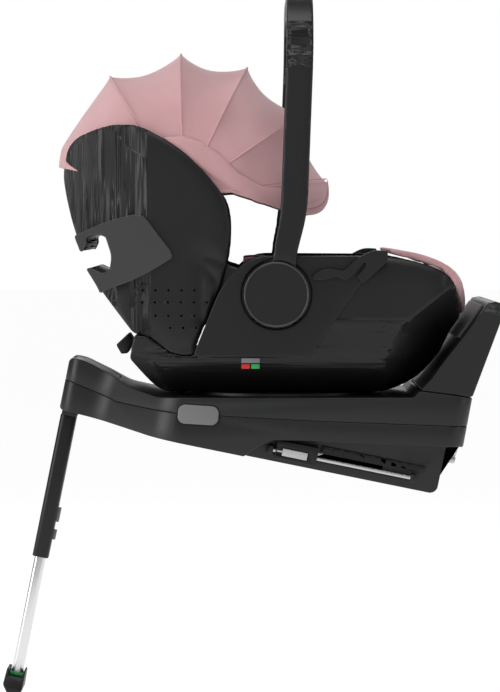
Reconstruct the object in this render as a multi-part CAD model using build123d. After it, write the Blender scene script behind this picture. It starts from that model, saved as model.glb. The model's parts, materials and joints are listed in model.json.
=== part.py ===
from build123d import *
import math
import os

# Infant car seat: a tilted base with a support leg and lower anchors, a turntable, and a carrier
# with a reclining back, a folding canopy and a carrying handle.
# Row frame: the origin is midway between the two lower anchor bars, +X is the way the child faces,
# +Z is up and Y is the width. Every length is in millimetres and every angle in degrees.

os.makedirs("parts", exist_ok=True)

# ---- Driving dimensions -------------------------------------------------------------------------
# Shared
WALL = 3.0                  # plastic wall of the base
GAP = 0.4                   # clearance between neighbouring pieces
SLIDE_GAP = 0.6             # clearance round a piece that travels

# Base, measured along its own underside (u) and square to it (w)
TILT = 11.5                 # the base rises from its nose to the rebound bar
NOSE_U = -596.0             # front face of the nose
NOSE_HALF = 66.0            # half width of the nose
BASE_HALF = 185.0           # half width of the base
SHOULDER_U = -425.0         # where the neck has widened to the full width
UNDERSIDE_W = -62.0         # bottom of the base
REAR_U = -10.0              # rear face of the tray
DECK_Z = 88.0               # level top of the base
RECESS_DEPTH = 28.0         # how far the anchor recess goes into each side

# Support leg
LEG_U = -581.5              # axis of the leg
PIN_W = -44.0               # axis of its hinge pin
PIN_R = 4.0                 # hinge pin
TUBE_DEPTH = 25.0           # outer tube, front to back
TUBE_WIDTH = 34.0           # outer tube, across
TUBE_WALL = 2.5             # wall of the outer tube
LEG_TOP_W = -58.0           # top of the outer tube
TUBE_END_W = -290.0         # lower end of the outer tube
INNER_DEPTH = 17.0          # inner tube, front to back
FOOT_TOP_W = -468.0         # top of the foot
FOOT_END_W = -507.0         # underside of the foot
FOOT_HALF = 40.0            # half width of the foot
CHANNEL_HALF = 46.0         # half width of the channel that the folded leg lies in
CHANNEL_TOP_W = -29.0       # roof of that channel
CHANNEL_END_U = -74.0       # rear end of that channel
GROOVE_DEPTH = 3.5          # groove in its roof for the buttons of the folded leg

# Lower anchors
ANCHOR_SPACING = 280.0      # between the centres of the two anchor bars
BAR_R = 3.0                 # radius of an anchor bar
JAW_CLEARANCE = 0.1         # between the bar and its seat
CONNECTOR_WIDTH = 24.0      # each connector, across
CONNECTOR_TIP = 8.0         # how far a connector reaches past its bar
LATCH_OUT = 5.0             # how far each latch lies outboard of its connector's middle

# Turntable
SPIN_X = -250.0             # vertical axis that the carrier turns on
DISC_R = 150.0              # turntable disc
DISC_TOP = 92.4             # top of the disc, just under the carrier
DISC_THICK = 13.0           # thickness of the disc
SPIGOT_R = 20.0             # fixed spigot that the disc turns on

# Carrier
CARRIER_Z = 93.0            # underside of the carrier
SHELL_HALF = 202.5          # half width of the two shells
SHELL_WALL = 5.0            # side walls of the two shells
SHIELD_THICK = 3.0          # trim plates on the shell sides
FOAM = 14.0                 # energy absorbing foam under the cover
PAD = 24.0                  # cushion thickness
LINER_HALF = 166.0          # half width of the foam in the back shell
HUB_X = -263.0              # pivot of the handle and of the backrest
HUB_Z = 243.0
HUB_R = 49.0                # round hub of the handle
HUB_PIN_R = 8.0

# Handle
ARM_IN = 207.3              # inner face of each arm
OVERALL_HALF = 222.0        # outer face of each arm
HANDLE_TOP = 694.0          # top of the grip
GRIP_THICK = 26.0           # grip, top to bottom
BEND_R = 115.0              # outer radius where an arm turns into the grip
ARM_DEPTH = 40.0            # arm, front to back

# Canopy
CANOPY_X = -400.0           # pivot of the ribs
CANOPY_Z = 392.0
CANOPY_REACH = 217.0        # pivot to the crest of the fabric
CANOPY_HALF = 189.0         # half width of the fabric
CANOPY_STRAIGHT = 70.0      # straight side of each rib before it bends over
CLOTH = 2.5                 # fabric thickness
RIB = 3.0                   # rib thickness
RIB_WIDTH = 8.0             # rib, along the fabric
RIB_ANGLES = {              # angle of each rib from the +X direction, at rest
    "canopy_rib_1": 122.9,
    "canopy_rib_2": 92.3,
    "canopy_rib_3": 64.5,
    "canopy_rib_4": 34.7,
    "canopy_bow": 5.0,
}
FABRIC_FROM = 4.0           # front edge of the fabric
FABRIC_TO = 168.0           # rear edge of the fabric
FABRIC_REAR_X = -594.0      # where the rear skirt is pulled against the shell


# ---- Helpers ------------------------------------------------------------------------------------
def polygon(points, radius=0.0):
    """A closed flat outline, with every corner rounded to one radius or to a list of radii."""
    if radius:
        return make_face(FilletPolyline(*points, radius=radius, close=True))
    return make_face(Polyline(*points, close=True))


def flowing(points, corner=3.0, sharp=50.0):
    """A closed outline whose gentle turns are long arcs and whose sharp turns have a small radius."""
    radii = []
    for i, point in enumerate(points):
        before = Vector(*point) - Vector(*points[i - 1])
        after = Vector(*points[(i + 1) % len(points)]) - Vector(*point)
        turn = before.get_angle(after)
        room = 0.44 * min(before.length, after.length) / math.tan(math.radians(turn) / 2)
        radii.append(min(room, corner) if turn > sharp else room)
    return make_face(FilletPolyline(*points, radius=radii, close=True))


def grown(face, amount):
    """The outline moved outward by an amount, or inward by a negative one."""
    return offset(face, amount=amount, kind=Kind.INTERSECTION)


def across(face, low, high):
    """A side view outline made solid between two Y values."""
    plane = Plane(origin=(0, high, 0), x_dir=(1, 0, 0), z_dir=(0, -1, 0))
    return extrude(plane * face, amount=high - low)


def both(face, low, high):
    """A side view outline made solid on the right and on the left."""
    return across(face, low, high) + across(face, -high, -low)


def middle(face, half):
    """A side view outline made solid over the middle of the width."""
    return across(face, -half, half)


def upright(face, low, high):
    """A plan outline made solid between two Z values."""
    return extrude(Pos(0, 0, low) * face, amount=high - low)


def endwise(face, low, high):
    """An end view outline, Y and Z, made solid between two X values."""
    plane = Plane(origin=(low, 0, 0), x_dir=(0, 1, 0), z_dir=(1, 0, 0))
    return extrude(plane * face, amount=high - low)


def block(x, y, z):
    """A box from three (low, high) pairs."""
    centre = Pos((x[0] + x[1]) / 2, (y[0] + y[1]) / 2, (z[0] + z[1]) / 2)
    return centre * Box(x[1] - x[0], y[1] - y[0], z[1] - z[0])


def mirrored(shape):
    """The shape and its copy on the other side of the middle plane."""
    return shape + mirror(shape, about=Plane.XZ)


def rod(x, z, radius, low, high):
    """A cylinder along Y."""
    return Pos(x, (low + high) / 2, z) * Rot(90, 0, 0) * Cylinder(radius, high - low)


def post(x, y, radius, low, high):
    """A cylinder along Z."""
    return Pos(x, y, (low + high) / 2) * Cylinder(radius, high - low)


def tilted(shape):
    """Takes a shape from the base's own directions, u and w, into the row frame."""
    return Rot(0, TILT, 0) * shape


def to_base(x, z):
    """The (u, w) place of a row frame (x, z) place."""
    turn = math.radians(TILT)
    return (x * math.cos(turn) - z * math.sin(turn), x * math.sin(turn) + z * math.cos(turn))


NODES = {}


def node(name, shape):
    """Keeps a finished piece under its node name."""
    NODES[name] = shape
    print(name, round(shape.volume))


# ---- Base shells --------------------------------------------------------------------------------
deck_front = to_base(-410.0, DECK_Z)
deck_rear = to_base(-58.0, DECK_Z)
SEAM_REAR_U = 15.0          # the tall rear of the base reaches this far past the tray

base_side = polygon([
    (NOSE_U, UNDERSIDE_W + 6), (-452, UNDERSIDE_W), (REAR_U, UNDERSIDE_W), (REAR_U, 10),
    (SEAM_REAR_U, 16), (SEAM_REAR_U - 2, 92), (-67, 86), deck_rear, deck_front,
    (-450, -2), (-500, 2), (-532, 14), (NOSE_U + 24, 25), (NOSE_U, 26),
], radius=[5, 60, 12, 3, 3, 3, 3, 4, 12, 60, 60, 60, 60, 9])
base_plan = polygon([
    (NOSE_U, -NOSE_HALF), (NOSE_U + 60, -NOSE_HALF), (SHOULDER_U, -BASE_HALF),
    (REAR_U + 25, -BASE_HALF), (REAR_U + 25, BASE_HALF), (SHOULDER_U, BASE_HALF),
    (NOSE_U + 60, NOSE_HALF), (NOSE_U, NOSE_HALF),
], radius=[22, 60, 80, 30, 30, 80, 60, 22])

# The anchor carriages slide in a recess in each side, under the skirt of the lower shell.
RECESS_IN = BASE_HALF - RECESS_DEPTH
recess_side = polygon([
    (-314, UNDERSIDE_W - 9), (-287, -42), (-266, -29), (-212, -19), (-132, -7), (-72, 2),
    (REAR_U + 40, 20), (REAR_U + 40, UNDERSIDE_W - 9),
])
seam_side = polygon([
    (NOSE_U - 20, -5), (-512, -25), (-472, -23), (-417, -19), (-212, 11), (-92, 31), (13, 48),
    (60, 56), (60, 200), (NOSE_U - 20, 200),
])

# Release lever on top of the nose, with a finger hollow in front of it.
LEVER_HALF = 38.0
LEVER_PIVOT_U = -518.0
LEVER_PIVOT_W = 4.5
LEVER_ROUND = 3.2           # round rear end of the lever, about its pivot
LEVER_PIN_R = 1.5
lever_flat = polygon([
    (LEVER_PIVOT_U, LEVER_PIVOT_W - LEVER_ROUND), (LEVER_PIVOT_U, LEVER_PIVOT_W + LEVER_ROUND),
    (-532, 13.4), (NOSE_U + 26, 24), (NOSE_U + 8, 25), (NOSE_U + 8, 17), (NOSE_U + 26, 16),
    (-532, 5.5),
])
lever_side = lever_flat + Pos(LEVER_PIVOT_U, LEVER_PIVOT_W) * Circle(LEVER_ROUND)
LEVER_BACK = LEVER_ROUND + SLIDE_GAP
lever_pocket = middle(grown(lever_flat, SLIDE_GAP), LEVER_HALF + SLIDE_GAP)
lever_pocket += rod(LEVER_PIVOT_U, LEVER_PIVOT_W, LEVER_BACK, -LEVER_HALF - SLIDE_GAP, LEVER_HALF + SLIDE_GAP)
lever_pocket += middle(polygon([
    (LEVER_PIVOT_U + LEVER_BACK, LEVER_PIVOT_W), (LEVER_PIVOT_U + LEVER_BACK, 40), (NOSE_U + 8, 40),
    (NOSE_U + 8, 20), (-532, 9),
]), LEVER_HALF + SLIDE_GAP)
lever_pocket += middle(polygon([
    (NOSE_U - 5, 9), (NOSE_U + 27, 9), (NOSE_U + 27, 40), (NOSE_U - 5, 40),
]), 24)
lever_room = middle(grown(lever_flat, WALL + 1), LEVER_HALF + WALL + 1)
lever_room += rod(LEVER_PIVOT_U, LEVER_PIVOT_W, LEVER_BACK + WALL, -LEVER_HALF - WALL - 1, LEVER_HALF + WALL + 1)
lever_room += middle(polygon([
    (NOSE_U - 5, 6), (NOSE_U + 30, 6), (NOSE_U + 30, 40), (NOSE_U - 5, 40),
]), 27)

# Rotation buttons, one on each side of the base.
BUTTON_LENGTH = 61.0
BUTTON_HEIGHT = 29.0
BUTTON_TRAVEL = 4.0
BUTTON_DEPTH = 11.0
BUTTON_PLACE = Pos(-384.5, -14.5) * Rot(0, 0, 8)
button_face = BUTTON_PLACE * RectangleRounded(BUTTON_LENGTH, BUTTON_HEIGHT, 11)
BUTTON_OUT = BASE_HALF + 2.5
BUTTON_IN = BUTTON_OUT - BUTTON_DEPTH
button_pocket = both(grown(button_face, GAP), BUTTON_IN - BUTTON_TRAVEL - GAP, BASE_HALF + 20)
button_room = both(grown(button_face, GAP + WALL), BUTTON_IN - BUTTON_TRAVEL - GAP - WALL, BASE_HALF)

# The leg folds into a channel in the underside.
channel = middle(polygon([
    (NOSE_U + WALL, UNDERSIDE_W - 20), (NOSE_U + WALL, CHANNEL_TOP_W - 6), (NOSE_U + 9, CHANNEL_TOP_W),
    (CHANNEL_END_U, CHANNEL_TOP_W), (CHANNEL_END_U, UNDERSIDE_W - 20),
]), CHANNEL_HALF)
channel_room = block((NOSE_U, CHANNEL_END_U + WALL), (-CHANNEL_HALF - WALL, CHANNEL_HALF + WALL),
                     (UNDERSIDE_W - 20, CHANNEL_TOP_W + WALL))
GROOVE_U = (LEG_U + 160, LEG_U + 222)
GROOVE_HALF = 11.0
channel += block(GROOVE_U, (-GROOVE_HALF, GROOVE_HALF), (CHANNEL_TOP_W - 1, CHANNEL_TOP_W + GROOVE_DEPTH))
channel_room += block((GROOVE_U[0] - WALL, GROOVE_U[1] + WALL), (-GROOVE_HALF - WALL, GROOVE_HALF + WALL),
                      (CHANNEL_TOP_W - 1, CHANNEL_TOP_W + GROOVE_DEPTH + WALL))
leg_pin_bore = rod(LEG_U, PIN_W, PIN_R + 0.05, -NOSE_HALF + 8, NOSE_HALF - 8)
leg_pin_boss = rod(LEG_U, PIN_W, PIN_R + 5, -NOSE_HALF, NOSE_HALF)

# The arms of the anchors leave the rear of the tray through two slots.
ANCHOR_Y = ANCHOR_SPACING / 2
ARM_HALF = 4.0              # half thickness of each anchor arm
arm_slot = mirrored(block((-70, 60), (ANCHOR_Y - CONNECTOR_WIDTH / 2 - SLIDE_GAP,
                                      ANCHOR_Y + CONNECTOR_WIDTH / 2 + SLIDE_GAP),
                          (-21.0, 13.0)))

base_outer = middle(base_side, 300) & upright(base_plan, -200, 200)
base_inner = middle(grown(base_side, -WALL), 300) & upright(grown(base_plan, -WALL), -200, 200)
recess = both(recess_side, RECESS_IN, BASE_HALF + 40)
recess_room = both(grown(recess_side, WALL), RECESS_IN - WALL, BASE_HALF + 40)
cavity = base_inner - recess_room - channel_room - lever_room - button_room - leg_pin_boss
body = base_outer - recess - channel - lever_pocket - button_pocket - leg_pin_bore - arm_slot

# The turntable sits in a round pocket, which is upright although the base is tilted.
POCKET_Z = DISC_TOP - DISC_THICK - GAP - 6.0
disc_pocket = post(SPIN_X, 0, DISC_R + 1.5, POCKET_Z, POCKET_Z + 60)
disc_room = post(SPIN_X, 0, DISC_R + 1.5 + WALL, POCKET_Z - WALL, POCKET_Z + 60)
cavity = tilted(cavity) - disc_room
body = tilted(body) - disc_pocket
shells = body - cavity
upper_zone = tilted(middle(grown(seam_side, -GAP / 2), 300))
lower_zone = tilted(middle(grown(seam_side, GAP / 2), 300))
base_upper = shells & upper_zone
base_lower = shells - lower_zone

# Turntable: a fixed slewing ring with its spigot, and the disc that turns on it.
ring_top = DISC_TOP - DISC_THICK - GAP
slewing_ring = post(SPIN_X, 0, DISC_R - 8, POCKET_Z, ring_top) - post(SPIN_X, 0, 70, 0, 200)
slewing_ring += post(SPIN_X, 0, 34, POCKET_Z, ring_top)
slewing_ring += block((SPIN_X - 90, SPIN_X + 90), (-12, 12), (POCKET_Z, ring_top))
slewing_ring += post(SPIN_X, 0, SPIGOT_R, POCKET_Z, DISC_TOP - 1)
node("slewing_ring", slewing_ring)

HOOK_X = 105.0              # carrier hooks, before and behind the turning axis
HOOK_Y = 62.0
HOOK_SIZE = (34.0, 12.0)
hook_places = [(SPIN_X + sx * HOOK_X, sy * HOOK_Y) for sx in (-1, 1) for sy in (-1, 1)]
disc = post(SPIN_X, 0, DISC_R, DISC_TOP - DISC_THICK, DISC_TOP)
disc -= post(SPIN_X, 0, SPIGOT_R + GAP, 0, 200)
for x, y in hook_places:
    disc -= block((x - HOOK_SIZE[0] / 2 - 1, x + HOOK_SIZE[0] / 2 + 1),
                  (y - HOOK_SIZE[1] / 2 - 1, y + HOOK_SIZE[1] / 2 + 1),
                  (DISC_TOP - DISC_THICK - 1, DISC_TOP + 1))
node("turntable_disc", disc)

# Rotation buttons: pressing either one frees the turntable.
buttons = both(button_face, BUTTON_IN, BUTTON_OUT)
button_pair = sorted(tilted(buttons).solids(), key=lambda solid: solid.center().Y)
node("rotation_button_right", button_pair[0])
node("rotation_button_left", button_pair[1])

# Release lever with its hinge pin.
lever = middle(lever_side, LEVER_HALF)
lever_pin_bore = rod(LEVER_PIVOT_U, LEVER_PIVOT_W, LEVER_PIN_R + 0.05, -LEVER_HALF - 1, LEVER_HALF + 1)
node("release_lever", tilted(lever - lever_pin_bore))
lever_pin = rod(LEVER_PIVOT_U, LEVER_PIVOT_W, LEVER_PIN_R, -LEVER_HALF - 3, LEVER_HALF + 3)
node("release_lever_pin", tilted(lever_pin))
base_upper -= tilted(lever_pin)

# Rebound bar: a hollow upright at the rear with a cap and a textured strip on its front.
REBOUND_HALF = BASE_HALF - 3
rebound_side = polygon([
    (-66, 87), (12, 93), (31, 213), (36, 223), (30, 239), (18, 240), (7, 236), (4, 228),
    (-10, 198), (-22, 173), (-37, 143), (-53, 108),
], radius=[2, 4, 30, 8, 10, 6, 5, 8, 60, 60, 60, 20])
rebound_view = polygon([
    (-REBOUND_HALF, 40), (REBOUND_HALF, 40), (REBOUND_HALF, 290), (-REBOUND_HALF, 290),
], radius=[1, 1, 70, 70])
rebound_outer = middle(rebound_side, 300) & endwise(rebound_view, -120, 80)
rebound_inner = middle(grown(rebound_side, -WALL), 300) & endwise(grown(rebound_view, -WALL), -120, 80)
rebound = rebound_outer - rebound_inner
PAD_PROUD = 3.5
pad_line = [(-22, 174), (-10, 199), (4, 229)]
pad_side = polygon(pad_line + [(u - PAD_PROUD, w + 2) for u, w in reversed(pad_line)])
pad_strip = middle(pad_side, REBOUND_HALF - 45)
node("rebound_shell", tilted(rebound))
node("rebound_pad", tilted(pad_strip - middle(grown(rebound_side, GAP / 2), 300)))

# ---- Lower anchors ------------------------------------------------------------------------------
JAW_R = BAR_R + JAW_CLEARANCE
ANCHOR_TRAVEL = 100.0
CARRIAGE_U = (-260.0, -197.0)
CARRIAGE_W = (-56.0, -28.0)
CARRIAGE_Y = (RECESS_IN + 3.5, RECESS_IN + 16)
BRIDGE_W = (-47.0, -37.0)
ROD_R = 3.0
ROD_Y = RECESS_IN + 9
ROD_W = -44.5
ROD_ENDS = (-268.0, -50.0)
RELEASE_TRAVEL = 8.0

# Arms: two flat bars joined by a cross bar, each carried by a carriage outside the tray wall.
arm_side = polygon([
    (-252, -50), (-208, -50), (-140, -9), (-30, -9), (-30, 9), (-150, 9), (-212, -32), (-252, -32),
])
arms = both(arm_side, ANCHOR_Y - ARM_HALF, ANCHOR_Y + ARM_HALF)
arms += block((-135, -123), (-ANCHOR_Y, ANCHOR_Y), (-6, 6))
arms += mirrored(block((-248, -212), (ANCHOR_Y, CARRIAGE_Y[0]), BRIDGE_W))
node("anchor_arms", tilted(arms))

CONNECTOR_Y = (ANCHOR_Y - CONNECTOR_WIDTH / 2, ANCHOR_Y + CONNECTOR_WIDTH / 2)
connector_side = polygon([
    (-29.6, -12), (CONNECTOR_TIP, -12), (CONNECTOR_TIP, 12), (-29.6, 12),
], radius=[2, 4, 4, 2])
jaw = Circle(JAW_R) + Pos(10, 0) * Rectangle(20, 2 * JAW_R)
connectors = both(connector_side, *CONNECTOR_Y) - both(jaw, 100, 180)
LATCH_HALF = 2.5
LATCH_U = -15.5
LATCH_W = -8.0
LATCH_Y = ANCHOR_Y + LATCH_OUT
latch_slot = mirrored(block((-25, 12), (LATCH_Y - LATCH_HALF - GAP, LATCH_Y + LATCH_HALF + GAP),
                            (-14, 3)))
connectors -= latch_slot
connectors += mirrored(rod(LATCH_U, LATCH_W, 1.5, LATCH_Y - LATCH_HALF - 1, LATCH_Y + LATCH_HALF + 1))
node("anchor_connectors", tilted(connectors))

latch_side = polygon([
    (-19, -10.8), (4, -10.8), (7.4, -8), (7.4, 2), (JAW_R + 0.5, 2), (JAW_R + 0.5, -5.4),
    (-12, -5.4), (-19, -5),
])
latches = both(latch_side, LATCH_Y - LATCH_HALF, LATCH_Y + LATCH_HALF)
latches -= mirrored(rod(LATCH_U, LATCH_W, 1.5 + 0.05, LATCH_Y - 20, LATCH_Y + 20))
latch_pair = sorted(tilted(latches).solids(), key=lambda solid: solid.center().Y)
node("anchor_latch_right", latch_pair[0])
node("anchor_latch_left", latch_pair[1])

# Carriages with their release slides.
RELEASE_U = (-250.0, -212.0)
RELEASE_W = (-50.0, -39.0)
RELEASE_FLOOR = CARRIAGE_Y[1] - 3.5
carriages = mirrored(block(CARRIAGE_U, CARRIAGE_Y, CARRIAGE_W))
carriages -= mirrored(block((RELEASE_U[0] - RELEASE_TRAVEL - 0.5, RELEASE_U[1] + GAP),
                            (RELEASE_FLOOR - GAP, CARRIAGE_Y[1] + 5),
                            (RELEASE_W[0] - GAP, RELEASE_W[1] + GAP)))
rod_line = Rot(0, 90, 0) * Cylinder(ROD_R, ROD_ENDS[1] - ROD_ENDS[0])
rod_sleeve = Rot(0, 90, 0) * Cylinder(ROD_R + GAP, 400)
ROD_MIDDLE = (ROD_ENDS[0] + ROD_ENDS[1]) / 2
carriages -= mirrored(Pos(ROD_MIDDLE, ROD_Y, ROD_W) * rod_sleeve)
node("anchor_carriages", tilted(carriages))
releases = mirrored(block(RELEASE_U, (RELEASE_FLOOR, CARRIAGE_Y[1] + 3), RELEASE_W))
release_pair = sorted(tilted(releases).solids(), key=lambda solid: solid.center().Y)
node("anchor_release_right", release_pair[0])
node("anchor_release_left", release_pair[1])

# Guide rods on lugs, and the toothed racks that set how far the arms reach.
node("anchor_rods", tilted(mirrored(Pos(ROD_MIDDLE, ROD_Y, ROD_W) * rod_line)))
lugs = Part()
for u in ROD_ENDS:
    lug = block((u - 4, u + 4), (RECESS_IN - WALL / 2, ROD_Y + 6), (ROD_W - 6, ROD_W + 6))
    lugs += lug - Pos(u, ROD_Y, ROD_W) * Rot(0, 90, 0) * Cylinder(ROD_R, 20)
base_lower += tilted(mirrored(lugs))
bridge_slot = mirrored(block((CARRIAGE_U[0], CARRIAGE_U[1] + ANCHOR_TRAVEL),
                             (RECESS_IN - 8, RECESS_IN + 1),
                             (BRIDGE_W[0] - SLIDE_GAP, BRIDGE_W[1] + SLIDE_GAP)))
base_lower -= tilted(bridge_slot)

TOOTH_PITCH = 16.0
TOOTH_COUNT = 10
RACK_START = -194.0
rack = block((RACK_START, RACK_START + TOOTH_PITCH * TOOTH_COUNT), (RECESS_IN, RECESS_IN + 1.6),
             (-34, -24))
for tooth in range(TOOTH_COUNT):
    u = RACK_START + TOOTH_PITCH * (tooth + 0.5)
    rack += block((u - 4, u + 4), (RECESS_IN, RECESS_IN + 3), (-33, -25))
node("anchor_racks", tilted(mirrored(rack)))

# ---- Support leg --------------------------------------------------------------------------------
knuckle = middle(polygon([
    (LEG_U - 11, PIN_W), (LEG_U + 11, PIN_W), (LEG_U + 14.5, LEG_TOP_W), (LEG_U + 12.5, -66),
    (LEG_U - 11, -66), (LEG_U - 11, LEG_TOP_W),
]), 21)
knuckle += rod(LEG_U, PIN_W, 11, -21, 21)
knuckle -= rod(LEG_U, PIN_W, PIN_R + 0.05, -30, 30)
node("leg_knuckle", tilted(knuckle))
node("leg_hinge_pin", tilted(rod(LEG_U, PIN_W, PIN_R, -NOSE_HALF + 9, NOSE_HALF - 9)))

tube_face = Pos(LEG_U, 0) * RectangleRounded(TUBE_DEPTH, TUBE_WIDTH, 8)
tube_bore = grown(tube_face, -TUBE_WALL)
outer_tube = upright(tube_face, TUBE_END_W, -66.3) - upright(tube_bore, TUBE_END_W - 1, -70)
LEG_BUTTONS = {"leg_button_upper": (-232.0, -210.0), "leg_button_lower": (-260.0, -245.0)}
for name, (low, high) in LEG_BUTTONS.items():
    face_u = LEG_U + TUBE_DEPTH / 2
    button = block((face_u - 1.2, face_u + 4.5), (-8, 8), (low, high))
    outer_tube -= block((face_u - 5, face_u + 5), (-8 - GAP, 8 + GAP), (low - GAP, high + GAP))
    node(name, tilted(button))
node("leg_outer_tube", tilted(outer_tube))

inner_face = Pos(LEG_U, 0) * RectangleRounded(INNER_DEPTH, TUBE_WIDTH - 2 * TUBE_WALL - 2, 6)
inner_tube = upright(inner_face, -488, -225) - upright(grown(inner_face, -2), -500, -224)
node("leg_inner_tube", tilted(inner_tube))

SOLE = 4.0
foot_view = polygon([
    (-FOOT_HALF, FOOT_END_W), (FOOT_HALF, FOOT_END_W), (FOOT_HALF, -494), (26, FOOT_TOP_W),
    (-26, FOOT_TOP_W), (-FOOT_HALF, -494),
])
foot_side = polygon([
    (-598, FOOT_TOP_W - 24), (-597, FOOT_TOP_W), (-592.2, FOOT_TOP_W), (-592.2, -478.4),
    (-571.2, -478.4), (-571.2, FOOT_TOP_W), (-568, FOOT_TOP_W), (-567.5, FOOT_END_W + SOLE + 6),
    (-572, FOOT_END_W + SOLE), (-590, FOOT_END_W + SOLE),
])
foot = middle(foot_side, 60) & endwise(foot_view, -640, -540)
foot -= upright(grown(inner_face, 0.02), -488, -400)
node("leg_foot", tilted(foot))
sole_side = polygon([
    (-590, FOOT_END_W + SOLE), (-572, FOOT_END_W + SOLE), (-574, FOOT_END_W), (-588, FOOT_END_W),
])
node("foot_sole", tilted(middle(sole_side, FOOT_HALF - 2)))
collar = block((-591.8, -571.5), (-17, 17), (-478, -473)) - upright(grown(inner_face, 0.2), -480, -470)
node("foot_indicator", tilted(collar))

# Screws that hold the bottom of the base.
screws = Part()
for u, y in [(-60, 110), (-230, 120), (-400, 100)]:
    for side in (-1, 1):
        head = post(u, side * y, 4, UNDERSIDE_W + 0.4, UNDERSIDE_W + 2)
        shank = post(u, side * y, 1.9, UNDERSIDE_W + 2, UNDERSIDE_W + 12)
        boss = post(u, side * y, 5.5, UNDERSIDE_W + 1, UNDERSIDE_W + 14)
        base_lower += tilted(boss - post(u, side * y, 4.2, UNDERSIDE_W, UNDERSIDE_W + 2))
        base_lower -= tilted(post(u, side * y, 1.9, UNDERSIDE_W, UNDERSIDE_W + 12))
        base_lower -= tilted(post(u, side * y, 4.2, UNDERSIDE_W - 1, UNDERSIDE_W + 2))
        screws += head + shank
node("base_screws", tilted(screws))
node("base_lower_shell", base_lower)
node("base_upper_shell", base_upper)

# ---- Carrier shell ------------------------------------------------------------------------------
BOWL_GAP = 5.0              # how far the turning carrier stays from the rebound bar
PART_GAP = 0.8
PARTING = [(-342.0, 262.0), (-387.0, 152.0), (-399.0, 150.6), (-420.0, 154.8), (-455.0, 180.0),
           (-468.0, 182.0)]     # where the back shell rests on the seat shell
HEEL = (-475.0, 182.0)

# The lower front of the carrier stays inside this bowl, so that it turns clear of the rebound bar.
BOWL_LOW, BOWL_HIGH = 60.0, 420.0
bowl_side = polygon([
    (0, BOWL_LOW), (186, BOWL_LOW), (186, 95), (214, 116), (242, 152), (258, 185), (273, 205),
    (298, 232), (360, 300), (360, BOWL_HIGH), (0, BOWL_HIGH),
])
bowl_plane = Plane(origin=(SPIN_X, 0, 0), x_dir=(1, 0, 0), z_dir=(0, -1, 0))


def turned(face):
    """A side view outline, measured from the turning axis, turned into a round bowl."""
    return revolve(bowl_plane * face, axis=Axis((SPIN_X, 0, 0), (0, 0, 1)), revolution_arc=360)


bowl = turned(bowl_side)
# The heel of the carrier stays above the rising nose of the base in the same way.
heel_bowl_side = polygon([(0, 60), (204, 60), (204, 96), (228, 110), (300, 160), (430, 320), (430, 420), (0, 420)])
behind = block((-700, -390), (-230, 230), (60, 420))
heel_room = turned(heel_bowl_side) & behind

seat_points = [
    (-440, CARRIER_Z), (-62, CARRIER_Z), (24, 188), (14, 230), (2, 262), (-20, 281), (-60, 294),
    (-98, 300), (-300, 302),
] + PARTING + [HEEL, (-483, 145), (-462, 118)]
seat_side = flowing(seat_points)
seat_view = polygon([
    (-105, CARRIER_Z), (105, CARRIER_Z), (SHELL_HALF - 14, 140), (SHELL_HALF, 200),
    (SHELL_HALF, 420), (-SHELL_HALF, 420), (-SHELL_HALF, 200), (-SHELL_HALF + 14, 140),
], radius=[30, 30, 60, 60, 1, 1, 60, 60])
seat_space = polygon([
    (-392, 160), (-370, 136), (-95, 142), (2, 215), (-8, 262), (-30, 420), (-392, 420),
])
seat_bulk = middle(seat_side, 230) & endwise(seat_view, -620, 60) & (bowl + heel_room)


def between_sides(amount):
    """The room between the curved sides of the seat shell, shrunk by an amount."""
    return endwise(grown(seat_view, -amount), -620, 60)


def in_bowl(amount):
    """The room inside the bowl, shrunk by an amount."""
    core = post(SPIN_X, 0, amount + 1, BOWL_LOW + amount, BOWL_HIGH - amount)
    return turned(grown(bowl_side, -amount)) + core


seat_void = middle(seat_space, SHELL_HALF - SHELL_WALL) & between_sides(SHELL_WALL) & in_bowl(SHELL_WALL)
seat_shell = seat_bulk - seat_void
# Between its floor and its underside the seat shell is hollow, and open below.
hollow = middle(grown(polygon(seat_points), -SHELL_WALL), 230) & between_sides(SHELL_WALL)
hollow &= in_bowl(SHELL_WALL) + (turned(grown(heel_bowl_side, -SHELL_WALL)) & behind)
hollow -= middle(grown(seat_space, SHELL_WALL), SHELL_HALF)
seat_shell -= hollow
seat_shell -= block((-400, -110), (-100, 100), (CARRIER_Z - 1, 126))
# The web that carries the hooks spans the hollow underneath.
seat_shell += block((-400, -110), (-HOOK_Y - 10, HOOK_Y + 10), (CARRIER_Z, CARRIER_Z + 4))
node("carrier_hooks", sum([
    block((x - HOOK_SIZE[0] / 2, x + HOOK_SIZE[0] / 2), (y - HOOK_SIZE[1] / 2, y + HOOK_SIZE[1] / 2),
          (DISC_TOP - DISC_THICK + 2, CARRIER_Z))
    for x, y in hook_places
], Part()))

# Handle pins pass through the seat shell and the ears of the back shell.
EAR_THICK = 5.0
EAR_GAP = 1.5
PIN_IN = SHELL_HALF - SHELL_WALL - EAR_THICK - EAR_GAP
pins = mirrored(rod(HUB_X, HUB_Z, HUB_PIN_R, PIN_IN, OVERALL_HALF - 5))
seat_shell -= mirrored(rod(HUB_X, HUB_Z, HUB_PIN_R, 150, 240))
node("handle_pins", pins)

# Trim shields on the sides, and the hooks for a lap belt in front of them.
shield_side = flowing([
    (-300, 300), (-344, 258), (-386, 154), (-340, 128), (-262, 112), (-238, 116), (-120, 284),
    (-135, 300),
])
shield_side -= Pos(HUB_X, HUB_Z) * Circle(HUB_R + 3)
SHIELD_IN = SHELL_HALF + 0.3
shields = both(shield_side, SHIELD_IN - 5, SHIELD_IN + SHIELD_THICK)
shields &= block((-400, 0), (-300, 300), (150, 302))
node("side_shields", shields - seat_bulk)

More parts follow.
